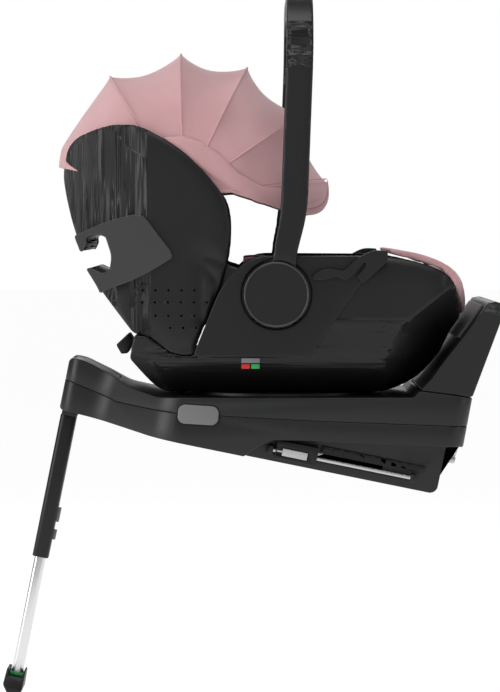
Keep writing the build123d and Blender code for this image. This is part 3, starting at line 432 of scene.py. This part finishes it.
def remesh(piece, voxel):
    """One even skin over the piece."""
    only(piece)
    piece.data.remesh_voxel_size = voxel * 1.0
    bpy.ops.object.voxel_remesh()


def smooth_shaded(piece, angle=35):
    """Soft shading, except over true edges."""
    only(piece)
    bpy.ops.object.shade_smooth_by_angle(angle=math.radians(angle))


def put_on(piece, body, slot, finish=None, replaces=()):
    """Gives a finished piece its material, chosen by its slot or finish, puts it on the body it rides on and
    hides the nodes it replaces.
    """
    piece.data.materials.clear()
    piece.data.materials.append(FINISH[finish or slot])
    if body:
        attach(piece, body)
    if replaces:
        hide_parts(*replaces)
    return piece


bodies = frame["record"]["behaviour"]["bodies"]
body_of_node = {node: body for body, nodes in bodies.items() for node in nodes}


# %% Small hard pieces with bevelled edges
def bevelled(node, width, segments=2):
    """A copy of a CAD node with every true edge rounded."""
    piece = copied(node, node + "_moulded")
    only(piece)
    bpy.ops.object.mode_set(mode="EDIT")
    bpy.ops.mesh.select_all(action="SELECT")
    bpy.ops.mesh.dissolve_limited(angle_limit=math.radians(0.5))
    bpy.ops.object.mode_set(mode="OBJECT")
    apply_modifier(piece, "BEVEL", width=width, segments=segments, limit_method="ANGLE",
                   angle_limit=math.radians(38), use_clamp_overlap=False, harden_normals=False,
                   miter_outer="MITER_ARC")
    smooth_shaded(piece)
    return put_on(piece, body_of_node[node], node_slot[node], replaces=(node,))


BEVELS = {
    "base_lower_shell": 1.2, "base_upper_shell": 1.2, "release_lever": 1.2, "turntable_disc": 1.0,
    "rotation_button_left": 1.8, "rotation_button_right": 1.8, "anchor_carriages": 0.8,
    "anchor_connectors": 0.8, "anchor_arms": 0.8, "anchor_release_left": 0.8, "anchor_release_right": 0.8,
    "leg_knuckle": 1.5, "leg_button_upper": 0.8, "leg_button_lower": 0.8, "leg_foot": 1.6,
    "foot_sole": 0.6, "foot_indicator": 0.4, "recline_handle": 2.0, "buckle_body": 2.5,
    "buckle_button": 1.0, "harness_adjuster": 0.8, "headrest_frame": 1.2, "carrier_hooks": 1.0,
    "handle_button_left": 0.8, "handle_button_right": 0.8, "leg_outer_tube": 0.5,
    "leg_inner_tube": 0.4, "anchor_racks": 0.3,
}
for node_name, edge in BEVELS.items():
    bevelled(node_name, edge * MM)
print(len(BEVELS), "bevelled pieces")


# %% [markdown]
# The seat shell, the back shell, the handle and the rebound bar are the large mouldings that a hand
# meets. The side faces of the first three roll over towards the outline, so light slides round them. The
# outline
# is read from the CAD copy: the long loops of edges where a side face ends.


# %% Outline of the side faces
SMALL_LOOP = 0.030
SAMPLE = 0.002
SLIVER = 1e-7


def side_outline(piece):
    """Places (x, z) along the outer edges of a piece's side faces, without its small holes."""
    mesh = bmesh.new()
    mesh.from_mesh(piece.data)
    rim = [edge for edge in mesh.edges if len(edge.link_faces) == 2
           and min(face.calc_area() for face in edge.link_faces) > SLIVER
           and max(abs(face.normal.y) for face in edge.link_faces) > 0.995
           and min(abs(face.normal.y) for face in edge.link_faces) < 0.3]
    loose, found = set(rim), []
    while loose:
        loop, queue = [], [loose.pop()]
        while queue:
            edge = queue.pop()
            loop.append(edge)
            for corner in edge.verts:
                for other in corner.link_edges:
                    if other in loose:
                        loose.remove(other)
                        queue.append(other)
        spread = [vert.co for edge in loop for vert in edge.verts]
        width = max(point.x for point in spread) - min(point.x for point in spread)
        if width > SMALL_LOOP:
            for edge in loop:
                a, b = (vert.co for vert in edge.verts)
                steps = max(1, int((b - a).length / SAMPLE))
                found += [a.lerp(b, step / steps) for step in range(steps + 1)]
    mesh.free()
    tree = kdtree.KDTree(len(found))
    for index, point in enumerate(found):
        tree.insert((point.x, 0, point.z), index)
    tree.balance()
    return tree


def crown(piece, outline, start, width, depth):
    """Rolls the side faces in towards their outline, as an elliptic quarter of that width and depth."""
    points = points_of(piece)
    half = np.abs(points[:, 1]).max()
    for point in points:
        reach = (abs(point[1]) - start) / (half - start)
        if reach <= 0:
            continue
        distance = outline.find((point[0], 0, point[2]))[2]
        if distance < width:
            share = 1 - distance / width
            point[1] -= math.copysign(depth * (1 - math.sqrt(1 - share * share)) * min(1, reach), point[1])
    set_points(piece, points)


def moulded(node, voxel, rounds, keep, roll=None):
    """A remeshed, crowned and smoothed copy of a CAD shell."""
    piece = copied(node, node + "_moulded")
    outline = side_outline(piece) if roll else None
    remesh(piece, voxel * MM)
    if roll:
        crown(piece, outline, *(value * MM for value in roll))
    apply_modifier(piece, "SMOOTH", factor=0.5, iterations=rounds)
    apply_modifier(piece, "DECIMATE", ratio=keep)
    smooth_shaded(piece, 45)
    print(piece.name, len(piece.data.polygons), "faces")
    return put_on(piece, body_of_node[node], node_slot[node], replaces=(node,))


moulded("seat_shell", 2.5, 12, 0.30, (150, 34, 12))
back_piece = moulded("back_shell", 2.5, 14, 0.30, (150, 34, 9))
moulded("handle_bar", 2.2, 14, 0.40, (207, 16, 3.5))
moulded("rebound_shell", 1.5, 5, 0.22)
moulded("side_shields", 1.6, 3, 0.35)
moulded("lap_belt_guides", 1.4, 4, 0.4)
belt_guide = moulded("shoulder_belt_guides", 1.5, 4, 0.35)
belt_guide.data.materials[0] = FINISH["guide_grey"]
moulded("handle_hub_covers", 1.2, 3, 0.35)

# %% [markdown]
# A vent grid of small holes lets air through the back shell. The remesh closed them, so they are
# cut again: one little cylinder, copied into rows, taken away from the shell.

# %% Vent holes
VENT_PITCH = 19.3 * MM
VENT_RADIUS = 1.8 * MM
DRILL_LENGTH = 0.42
VENT_ROWS = ((-462, 249, 5), (-463, 231, 6), (-443, 211, 4), (-421, 193, 3))
cutters = []
for start_x, height, count in VENT_ROWS:
    for hole in range(count):
        bpy.ops.object.select_all(action="DESELECT")
        bpy.ops.mesh.primitive_cylinder_add(vertices=12, radius=VENT_RADIUS, depth=DRILL_LENGTH,
                                            rotation=(math.pi / 2, 0, 0),
                                            location=(start_x * MM + VENT_PITCH * hole, 0, height * MM))
        cutters.append(bpy.context.active_object)
only(cutters[0])
for cutter in cutters:
    cutter.select_set(True)
bpy.ops.object.join()
drill = bpy.context.active_object
only(drill)
bpy.ops.object.transform_apply(location=True, rotation=True, scale=True)
apply_modifier(back_piece, "BOOLEAN", operation="DIFFERENCE", object=drill, solver="EXACT")
bpy.data.objects.remove(drill)
smooth_shaded(back_piece, 45)
print("vents cut", len(cutters), "now", len(back_piece.data.polygons), "faces")

# %% [markdown]
# The canopy is one cloth sewn over five ribs. Between two ribs it is pulled inward, so its outline is
# a row of shallow scallops with a crisp seam at each rib. Each gore is its own sheet between
# two ribs.

# %% Canopy sizes, read from the ribs
pivot = Vector((-0.400, 0, 0.392))
fabric_low, fabric_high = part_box("canopy_fabric")
REACH = 0.2165
HALF = fabric_high.y - 0.0015
STRAIGHT = 0.070
TUCKED = 0.012
WRAP = 1.30
TURNED_UNDER = 0.30
CLOTH_THICK = 0.0014
CUT_WIDTH = 1.45
CUT_SHARE = 0.9
REAR_X = fabric_low.x + 0.001
RIBS = (("canopy_rib_1", 122.9), ("canopy_rib_2", 92.3), ("canopy_rib_3", 64.5), ("canopy_rib_4", 34.7),
        ("canopy_bow", 5.0))
REAR_ANGLE = 168.0
SAG = 0.021
DROOP = 13.0


def canopy_point(angle, across, sag=0.0, proud=0.0):
    """A place on the canopy: an angle about the pivot, and -1 to 1 from one side over to the other."""
    turn = across * WRAP * math.pi / 2
    side = math.copysign(1, across)
    if abs(turn) > math.pi / 2:
        share = (abs(turn) - math.pi / 2) / (TURNED_UNDER * math.pi / 2)
        out = STRAIGHT * (1 - share) + TUCKED * share
        wide = side * HALF
    else:
        out = STRAIGHT + (REACH - STRAIGHT) * math.cos(turn)
        wide = HALF * math.sin(turn)
    out *= 1 - sag / REACH * min(1, out / REACH) ** 0.5
    out += proud
    heading = math.radians(angle)
    if math.cos(heading) < 0:
        out = min(out, (pivot.x - REAR_X + proud) / -math.cos(heading))
    return Vector((pivot.x + out * math.cos(heading), wide, pivot.z + out * math.sin(heading)))


def front_angle(across):
    """The front hem hangs lower at the sides than in the middle."""
    turn = min(1.0, abs(across) * WRAP)
    return RIBS[-1][1] - DROOP * math.sin(math.pi * min(0.999, turn)) ** 0.7


def sheet_grid(name, rows, columns, place):
    """A grid primitive whose points are set by a function of two shares, 0 to 1 and -1 to 1."""
    bpy.ops.object.select_all(action="DESELECT")
    bpy.ops.mesh.primitive_grid_add(x_subdivisions=rows, y_subdivisions=columns, size=2)
    piece = bpy.context.active_object
    piece.name = name
    points = points_of(piece)
    set_points(piece, np.array([place((x + 1) / 2, y) for x, y, _ in points]))
    return piece


def sewn_sheet(piece, slot, finish=None):
    """Gives a sheet its cloth thickness and closed, softly shaded faces."""
    only(piece)
    bpy.ops.object.mode_set(mode="EDIT")
    bpy.ops.mesh.select_all(action="SELECT")
    bpy.ops.mesh.normals_make_consistent(inside=False)
    bpy.ops.object.mode_set(mode="OBJECT")
    apply_modifier(piece, "SOLIDIFY", thickness=CLOTH_THICK, offset=0)
    apply_modifier(piece, "SUBSURF", levels=1, render_levels=1)
    smooth_shaded(piece, 50)
    piece.data.materials.clear()
    piece.data.materials.append(FINISH[finish or slot])
    return piece


def surface_area(piece):
    """Half the area of a thin closed sheet, which is close to its flat area."""
    return sum(face.area for face in piece.data.polygons) / 2


def declare_sheet(piece):
    """Says what flat size the sheet was cut to."""
    area = surface_area(piece)
    width = 2 * HALF * CUT_WIDTH
    length = area / width / CUT_SHARE
    print(piece.name, "flat", round(width, 3), "x", round(length, 3), "area", round(area, 4))


def scallop(share):
    """How deep the cloth sags between two ribs: none at either seam, most in between."""
    return (1 - (2 * share - 1) ** 2) ** 0.8


# %% Canopy gores
GORE_ROWS, GORE_COLUMNS = 16, 72
gores = []
for (from_name, from_angle), (to_name, to_angle) in zip(RIBS, RIBS[1:]):
    def place(share, across, low=from_angle, high=to_angle):
        angle = low + (high - low) * share
        wrinkle = 0.0012 * math.sin(across * 9 + share * 5) * scallop(share)
        return canopy_point(angle, across, SAG * scallop(share) + wrinkle)
    gore = sheet_grid("canopy_gore_to_" + to_name[7:], GORE_ROWS, GORE_COLUMNS, place)
    gore = sewn_sheet(gore, "rose_fabric")
    declare_sheet(gore)
    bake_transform(gore)
    gores.append(gore)
print(len(gores), "gores")


# %% Rear gore and visor
def rear_place(share, across):
    """The rear panel, from the first rib back to the skirt on the shell."""
    angle = RIBS[0][1] + (REAR_ANGLE - RIBS[0][1]) * share
    return canopy_point(angle, across, 0.016 * scallop(share))


def visor_place(share, across):
    """The soft visor, from the front bow down to its hem."""
    angle = RIBS[-1][1] + 0.2 + (front_angle(across) - RIBS[-1][1] - 1.5) * share
    return canopy_point(angle, across, 0.0, 0.0012)


rear_gore = sewn_sheet(sheet_grid("canopy_rear_panel", 18, 72, rear_place), "rose_fabric")
declare_sheet(rear_gore)
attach(rear_gore, "backrest")
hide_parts("canopy_fabric")
visor = sewn_sheet(sheet_grid("canopy_visor", 8, 72, visor_place), "rose_fabric")
declare_sheet(visor)
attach(visor, "canopy_bow")


# %% [markdown]
# A soft band runs along each side, from the top of the back shell forward to the end of the visor. It is
# wider and fuller than a hem, so it is a sheet of its own, laid just outside the gores.

# %% Side bands
BAND_UPPER = ((-430, 476), (-402, 479), (-375, 470), (-345, 450), (-320, 424), (-285, 404), (-250, 401),
              (-213, 406), (-192, 411))
BAND_LOWER = ((-425, 470), (-402, 450), (-380, 432), (-355, 415), (-330, 400), (-292, 380), (-250, 371),
              (-215, 374), (-198, 379))


def along_line(line, share):
    """A place on a line of (x, z) places in millimetres, at a share of its length by count."""
    steps = np.linspace(0, 1, len(line))
    return [np.interp(share, steps, [point[axis] for point in line]) * MM for axis in (0, 1)]


def band_point(side, share, across):
    """A place on the side band: across runs from its upper to its lower edge."""
    upper = along_line(BAND_UPPER, (share + 1) / 2)
    lower = along_line(BAND_LOWER, (share + 1) / 2)
    x, z = (a + (b - a) * across for a, b in zip(upper, lower))
    out = math.hypot(x - pivot.x, z - pivot.z)
    turn = math.acos(min(1.0, max(0.0, (out - STRAIGHT) / (REACH - STRAIGHT))))
    full = 0.0035 * math.sin(math.pi * across) ** 0.5 if 0 < across < 1 else 0.0
    return Vector((x, side * (HALF * math.sin(turn) + 0.0006 + full), z))


for side, side_name in ((-1, "right"), (1, "left")):
    band = sheet_grid("canopy_side_band_" + side_name, 10, 60,
                      lambda across, share, side=side: band_point(side, share, across))
    band = sewn_sheet(band, "rose_fabric")
    apply_modifier(band, "SMOOTH", factor=0.5, iterations=3)
    band_area = surface_area(band)
    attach(band, "canopy_bow")
    print(band.name, "area", round(band_area, 4))

# %% [markdown]
# Piping covers each rib seam: a thin tube that follows the rib over the head. Stitches are short beads,
# in one line above the front hem and one beside the bow.

# %% Piping and stitching
def tube_along(name, places, radius, sides=8):
    """A round tube through a list of places, made from a curve and turned into a mesh."""
    curve = bpy.data.curves.new(name, "CURVE")
    curve.dimensions = "3D"
    curve.bevel_depth = radius
    curve.bevel_resolution = sides // 4
    curve.use_fill_caps = True
    line = curve.splines.new("POLY")
    line.points.add(len(places) - 1)
    for point, place_at in zip(line.points, places):
        point.co = (*place_at, 1)
    made = bpy.data.objects.new(name, curve)
    bpy.context.scene.collection.objects.link(made)
    only(made)
    bpy.ops.object.convert(target="MESH")
    piece = bpy.context.active_object
    smooth_shaded(piece, 60)
    return piece


def dashes(name, places, radius, length, gap):
    """Stitches: one bead, copied along a line."""
    beads = []
    walked, target = 0.0, 0.0
    for here, there in zip(places, places[1:]):
        step = (there - here).length
        while target < walked + step:
            spot = here.lerp(there, (target - walked) / step)
            turn = (there - here).to_track_quat("Z", "Y").to_matrix().to_4x4()
            turn.translation = spot
            beads.append(turn)
            target += length + gap
        walked += step
    mesh = bmesh.new()
    for bead in beads:
        bmesh.ops.create_cone(mesh, cap_ends=True, segments=6, radius1=radius, radius2=radius, depth=length,
                              matrix=bead)
    data = bpy.data.meshes.new(name)
    mesh.to_mesh(data)
    mesh.free()
    piece = bpy.data.objects.new(name, data)
    bpy.context.scene.collection.objects.link(piece)
    return piece


PIPING_RADIUS = 0.0016
HEM_RADIUS = 0.0022
STITCH_SIZES = (0.0005, 0.0032, 0.0016)
OVER = [step / 60 for step in range(-57, 58)]
for rib_name, rib_angle in RIBS:
    body = "backrest" if rib_name == "canopy_rib_1" else rib_name
    rib_line = [canopy_point(rib_angle, across, 0, 0.0006) for across in OVER]
    put_on(tube_along(rib_name + "_piping", rib_line, PIPING_RADIUS), body, "rose_fabric")
hem_line = [canopy_point(front_angle(across) - 1.3, across, 0, 0.0012) for across in OVER]
put_on(tube_along("canopy_hem_roll", hem_line, HEM_RADIUS), "canopy_bow", "rose_fabric")
stitch_line = [canopy_point(front_angle(across) + 1.2, across, 0, 0.0024) for across in OVER]
stitch_beads = dashes("canopy_hem_stitches", stitch_line, *STITCH_SIZES)
put_on(stitch_beads, "canopy_bow", "rose_fabric", "thread_rose")
bow_line = [canopy_point(RIBS[-1][1] + 1.6, across, 0, 0.0012) for across in OVER]
bow_beads = dashes("canopy_bow_stitches", bow_line, *STITCH_SIZES)
put_on(bow_beads, "canopy_bow", "rose_fabric", "thread_rose")
print("piping on", len(RIBS), "ribs")

# %% [markdown]
# Every cushion is a padded piece. Its CAD solid gives the space. The skin is remeshed, blown up by a
# short cloth simulation with gravity off, held near its start, and its seams are pressed in afterwards.


# %% Padded pieces
CLOTH_FRAMES = 16
SEAM_DEPTH = 0.0035
SEAM_WIDTH = 0.0035
SEAM_SIDE = 0.095


def inflate(piece, pressure, cap, shrink):
    """Swells a closed skin by cloth simulation and keeps each point within a distance of its start."""
    points = points_of(piece)
    set_points(piece, points - normals_of(piece) * shrink)
    start = points_of(piece)
    only(piece)
    modifier = piece.modifiers.new("cloth", "CLOTH")
    settings = modifier.settings
    settings.use_pressure = True
    settings.uniform_pressure_force = pressure
    settings.effector_weights.gravity = 0
    settings.quality = 4
    settings.tension_stiffness = settings.compression_stiffness = 12
    modifier.collision_settings.use_collision = False
    for step in range(1, CLOTH_FRAMES + 1):
        scene.frame_set(step)
    graph = bpy.context.evaluated_depsgraph_get()
    flat = np.empty(len(start) * 3, np.float32)
    piece.evaluated_get(graph).data.vertices.foreach_get("co", flat)
    piece.modifiers.remove(modifier)
    scene.frame_set(1)
    moved = flat.reshape(-1, 3) - start
    length = np.linalg.norm(moved, axis=1, keepdims=True)
    set_points(piece, start + moved * np.minimum(1, cap / np.maximum(length, 1e-9)))


def press_seams(piece, seams, depth, width):
    """Presses sewn channels into the skin: each seam is a function that gives a distance from it."""
    points, normals = points_of(piece), normals_of(piece)
    press = np.zeros(len(points))
    for seam in seams:
        press = np.maximum(press, np.exp(-(seam(points) / width) ** 2))
    set_points(piece, points - normals * press[:, None] * depth)


def cushion_from(node, voxel, body, pressure=4.0, cap=0.006, shrink=0.002, seams=(), finish=None,
                 rounds=4):
    """A padded piece in the space of one CAD soft solid."""
    piece = copied(node, node + "_padded")
    remesh(piece, voxel * MM)
    apply_modifier(piece, "SMOOTH", factor=0.5, iterations=rounds)
    inflate(piece, pressure, cap, shrink)
    apply_modifier(piece, "SUBSURF", levels=1, render_levels=1)
    press_seams(piece, seams, SEAM_DEPTH, SEAM_WIDTH)
    apply_modifier(piece, "SMOOTH", factor=0.4, iterations=2)
    smooth_shaded(piece, 60)
    put_on(piece, body, node_slot[node], finish, (node,))
    print(piece.name, len(piece.data.polygons), "faces")
    return piece


def plane_seam(axis, value):
    """A seam in a plane square to one axis."""
    return lambda points: points[:, axis] - value


def slanted_seam(spot, direction):
    """A seam in a plane through a place, square to a direction in the side view."""
    return lambda points: (points - np.array(spot)) @ np.array(direction)


BACK_UP = (-0.404, 0, 0.915)
back_seams = [slanted_seam((-0.45 + BACK_UP[0] * along, 0, 0.2 + BACK_UP[2] * along), BACK_UP)
              for along in (0.05, 0.10, 0.15, 0.20)]
back_seams += [plane_seam(1, side * SEAM_SIDE) for side in (-1, 1)]
seat_seams = [plane_seam(1, side * SEAM_SIDE) for side in (-1, 1)]
seat_seams += [plane_seam(0, place_x) for place_x in (-0.17, -0.10)]
seat_pad = cushion_from("seat_cushion", 6, "carrier", seams=seat_seams, finish="burgundy_lining")
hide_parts("seat_foam")
back_pad = cushion_from("back_cushion", 6, "backrest", seams=back_seams)
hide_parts("back_foam")
cushion_from("headrest_pad", 5, "headrest", cap=0.005, seams=[plane_seam(1, 0.0)])
cushion_from("shoulder_pads", 3.5, "backrest", cap=0.003, shrink=0.001, finish="strap_black")
cushion_from("seat_cover_edge", 4, "carrier", cap=0.004, shrink=0.001)


# %% [markdown]
# Webbing is flat and keeps its edges, so it is not simulated. The shoulder straps and the crotch strap
# keep their CAD course, with a small bevel.

# %% Straps
for strap_node in ("shoulder_straps", "crotch_strap"):
    strap = bevelled(strap_node, 0.6 * MM)
    strap.data.materials[0] = FINISH["strap_black"]
print("straps done")

# %% [markdown]
# Two small marks give the shells their scale: a bright ring round each handle hub, and generic colour
# bars low on each side of the seat shell.

# %% Hub rings
hub_low, hub_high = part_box("handle_hub_covers")
hub_centre = (hub_low + hub_high) / 2
hub_radius = (hub_high.x - hub_low.x) / 2
for side, name in ((-1, "right"), (1, "left")):
    bpy.ops.object.select_all(action="DESELECT")
    bpy.ops.mesh.primitive_torus_add(major_radius=hub_radius - 0.0016, minor_radius=0.0016, major_segments=96,
                                     minor_segments=10, rotation=(math.pi / 2, 0, 0),
                                     location=(hub_centre.x, side * (hub_high.y - 0.0004), hub_centre.z))
    ring = bpy.context.active_object
    ring.name = "hub_ring_" + name
    only(ring)
    bpy.ops.object.transform_apply(location=True, rotation=True, scale=True)
    smooth_shaded(ring, 60)
    put_on(ring, "handle", "shell_black", "hub_rim")


# %% Colour bars
def bar(name, low, high, body, slot, edge):
    """A small block with bevelled edges between two corners."""
    bpy.ops.object.select_all(action="DESELECT")
    centre = [(a + b) / 2 for a, b in zip(low, high)]
    bpy.ops.mesh.primitive_cube_add(size=1, location=centre, scale=[b - a for a, b in zip(low, high)])
    piece = bpy.context.active_object
    piece.name = name
    only(piece)
    bpy.ops.object.transform_apply(location=True, rotation=True, scale=True)
    bpy.ops.object.mode_set(mode="EDIT")
    bpy.ops.mesh.select_all(action="SELECT")
    bpy.ops.mesh.bevel(offset=edge, segments=2, affect="EDGES")
    bpy.ops.object.mode_set(mode="OBJECT")
    smooth_shaded(piece)
    return put_on(piece, body, slot)


shield_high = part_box("side_shields")[1]
LABEL_THICK = 0.0007
LABEL_HEIGHT = 0.0068
LABEL_EDGE = 0.0003
for side, name in ((-1, "right"), (1, "left")):
    face = side * shield_high.y
    depth = sorted((face - side * 0.0004, face + side * LABEL_THICK))
    for colour, start, end, height in (("red", -0.315, -0.3025, 0.1325), ("green", -0.3005, -0.2880, 0.1325),
                                       ("grey", -0.315, -0.2880, 0.1410)):
        slot = {"red": "red_plastic", "green": "green_plastic", "grey": "grey_plastic"}[colour]
        bar(f"label_{colour}_{name}", (start, depth[0], height), (end, depth[1], height + LABEL_HEIGHT),
            "carrier", slot, LABEL_EDGE)

# %% Rebound pad
moulded("rebound_pad", 1.2, 2, 0.5)
